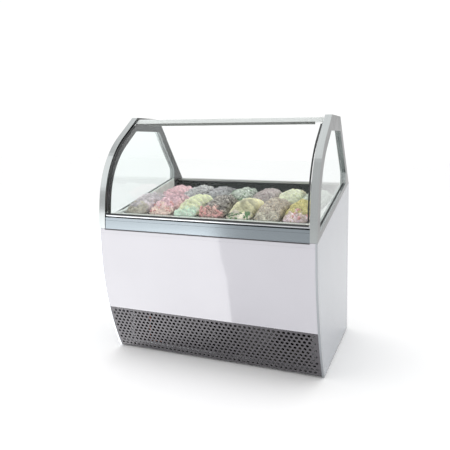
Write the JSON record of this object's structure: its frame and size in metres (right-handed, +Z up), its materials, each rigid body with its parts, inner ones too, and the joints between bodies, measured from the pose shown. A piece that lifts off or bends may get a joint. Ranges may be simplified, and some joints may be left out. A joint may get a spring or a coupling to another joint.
{
  "type": "ice cream dipping cabinet",
  "caption": "Free-standing dipping cabinet with a curved tilting glass canopy, two sloping rows of lift-out ice cream pans, a perforated front grille and a refrigeration unit.",
  "frame": {"origin": "on the floor, at the middle of the cabinet's overall box", "axes": "+Z up, -Y towards the customer's side, +X to the right seen by the customer"},
  "size_m": [1.18, 0.97, 1.32],
  "materials": {
    "side_panel_paint": "gloss",
    "anodised_trim": "satin",
    "front_panel_paint": "gloss",
    "grille_paint": "satin",
    "anodised_frame": "satin",
    "side_glass": "polished",
    "top_bar_paint": "gloss",
    "lamp_cover": "satin",
    "front_glass": "polished",
    "clamp_aluminium": "satin",
    "rail_aluminium": "satin",
    "surround_plastic": "gloss",
    "foam": "matte",
    "liner_steel": "satin",
    "support_steel": "satin",
    "coil_aluminium": "satin",
    "fan_plastic": "matte",
    "rear_rail_steel": "satin",
    "worktop_steel": "satin",
    "back_panel_paint": "gloss",
    "galvanised_base": "satin",
    "foot_rubber": "matte",
    "compressor_paint": "satin",
    "condenser_metal": "satin",
    "shroud_paint": "satin",
    "copper": "satin",
    "controller_plastic": "satin",
    "switch_plastic": "gloss",
    "inlet_plastic": "matte",
    "pan_steel": "satin",
    "ice_cream_1": "satin",
    "ice_cream_2": "satin",
    "ice_cream_3": "satin",
    "ice_cream_4": "satin",
    "ice_cream_5": "satin",
    "ice_cream_6": "satin",
    "ice_cream_7": "satin",
    "ice_cream_8": "satin",
    "ice_cream_9": "satin",
    "ice_cream_10": "satin",
    "ice_cream_11": "satin",
    "ice_cream_12": "satin",
    "ice_cream_13": "satin",
    "ice_cream_14": "satin"
  },
  "bodies": {
    "cabinet": {"side_panel_left": "side_panel_paint", "side_panel_right": "side_panel_paint", "edge_trims": "anodised_trim", "front_panel": "front_panel_paint", "canopy_frame_left": "anodised_frame", "canopy_frame_right": "anodised_frame", "side_glass": "side_glass", "top_bar": "top_bar_paint", "lamp": "lamp_cover", "front_rail": "rail_aluminium", "well_surround": "surround_plastic", "insulated_tub": "foam", "tub_liner": "liner_steel", "pan_supports": "support_steel", "evaporator": "coil_aluminium", "rear_rail": "rear_rail_steel", "rear_worktop": "worktop_steel", "back_panel": "back_panel_paint", "base_tray": "galvanised_base", "levelling_feet": "foot_rubber", "compressor": "compressor_paint", "condenser_coil": "condenser_metal", "fan_shroud": "shroud_paint", "refrigerant_pipes": "copper", "controller": "controller_plastic", "power_inlet": "inlet_plastic"},
    "canopy_glass": {"front_glass": "front_glass", "glass_clamp": "clamp_aluminium"},
    "grille": {"front_grille": "grille_paint"},
    "evaporator_fan": {"evaporator_fan": "fan_plastic"},
    "condenser_fan": {"condenser_fan": "fan_plastic"},
    "power_switch": {"power_switch": "switch_plastic"},
    "pan_1_body": {"pan_1": "pan_steel", "gelato_1": "ice_cream_1"},
    "pan_2_body": {"pan_2": "pan_steel", "gelato_2": "ice_cream_2"},
    "pan_3_body": {"pan_3": "pan_steel", "gelato_3": "ice_cream_3"},
    "pan_4_body": {"pan_4": "pan_steel", "gelato_4": "ice_cream_4"},
    "pan_5_body": {"pan_5": "pan_steel", "gelato_5": "ice_cream_5"},
    "pan_6_body": {"pan_6": "pan_steel", "gelato_6": "ice_cream_6"},
    "pan_7_body": {"pan_7": "pan_steel", "gelato_7": "ice_cream_7"},
    "pan_8_body": {"pan_8": "pan_steel", "gelato_8": "ice_cream_8"},
    "pan_9_body": {"pan_9": "pan_steel", "gelato_9": "ice_cream_9"},
    "pan_10_body": {"pan_10": "pan_steel", "gelato_10": "ice_cream_10"},
    "pan_11_body": {"pan_11": "pan_steel", "gelato_11": "ice_cream_11"},
    "pan_12_body": {"pan_12": "pan_steel", "gelato_12": "ice_cream_12"},
    "pan_13_body": {"pan_13": "pan_steel", "gelato_13": "ice_cream_13"},
    "pan_14_body": {"pan_14": "pan_steel", "gelato_14": "ice_cream_14"}
  },
  "joints": [
    {"name": "glass_tilt", "type": "hinge", "parent": "cabinet", "child": "canopy_glass", "pos_m": [0, -0.46956, 0.786], "axis": [1, 0, 0], "range_deg": [0, 50]},
    {"name": "grille_pull", "type": "slide", "parent": "cabinet", "child": "grille", "axis": [0, -1, 0], "range_m": [0, 0.12]},
    {"name": "evaporator_fan_spin", "type": "hinge", "parent": "cabinet", "child": "evaporator_fan", "pos_m": [0, 0.12101, 0.55998], "axis": [0, -0.0872, 0.9962], "continuous": true},
    {"name": "condenser_fan_spin", "type": "hinge", "parent": "cabinet", "child": "condenser_fan", "pos_m": [-0.12, -0.17486, 0.1213], "axis": [0, 1, 0], "continuous": true},
    {"name": "switch_rock", "type": "hinge", "parent": "cabinet", "child": "power_switch", "pos_m": [0.47, 0.477, 0.143], "axis": [1, 0, 0], "range_deg": [-16, 0]},
    {"name": "pan_1_lift", "type": "slide", "parent": "cabinet", "child": "pan_1_body", "axis": [0, -0.0872, 0.9962], "range_m": [0, 0.15]},
    {"name": "pan_2_lift", "type": "slide", "parent": "cabinet", "child": "pan_2_body", "axis": [0, -0.0872, 0.9962], "range_m": [0, 0.15]},
    {"name": "pan_3_lift", "type": "slide", "parent": "cabinet", "child": "pan_3_body", "axis": [0, -0.0872, 0.9962], "range_m": [0, 0.15]},
    {"name": "pan_4_lift", "type": "slide", "parent": "cabinet", "child": "pan_4_body", "axis": [0, -0.0872, 0.9962], "range_m": [0, 0.15]},
    {"name": "pan_5_lift", "type": "slide", "parent": "cabinet", "child": "pan_5_body", "axis": [0, -0.0872, 0.9962], "range_m": [0, 0.15]},
    {"name": "pan_6_lift", "type": "slide", "parent": "cabinet", "child": "pan_6_body", "axis": [0, -0.0872, 0.9962], "range_m": [0, 0.15]},
    {"name": "pan_7_lift", "type": "slide", "parent": "cabinet", "child": "pan_7_body", "axis": [0, -0.0872, 0.9962], "range_m": [0, 0.15]},
    {"name": "pan_8_lift", "type": "slide", "parent": "cabinet", "child": "pan_8_body", "axis": [0, -0.0872, 0.9962], "range_m": [0, 0.15]},
    {"name": "pan_9_lift", "type": "slide", "parent": "cabinet", "child": "pan_9_body", "axis": [0, -0.0872, 0.9962], "range_m": [0, 0.15]},
    {"name": "pan_10_lift", "type": "slide", "parent": "cabinet", "child": "pan_10_body", "axis": [0, -0.0872, 0.9962], "range_m": [0, 0.15]},
    {"name": "pan_11_lift", "type": "slide", "parent": "cabinet", "child": "pan_11_body", "axis": [0, -0.0872, 0.9962], "range_m": [0, 0.15]},
    {"name": "pan_12_lift", "type": "slide", "parent": "cabinet", "child": "pan_12_body", "axis": [0, -0.0872, 0.9962], "range_m": [0, 0.15]},
    {"name": "pan_13_lift", "type": "slide", "parent": "cabinet", "child": "pan_13_body", "axis": [0, -0.0872, 0.9962], "range_m": [0, 0.15]},
    {"name": "pan_14_lift", "type": "slide", "parent": "cabinet", "child": "pan_14_body", "axis": [0, -0.0872, 0.9962], "range_m": [0, 0.15]}
  ]
}
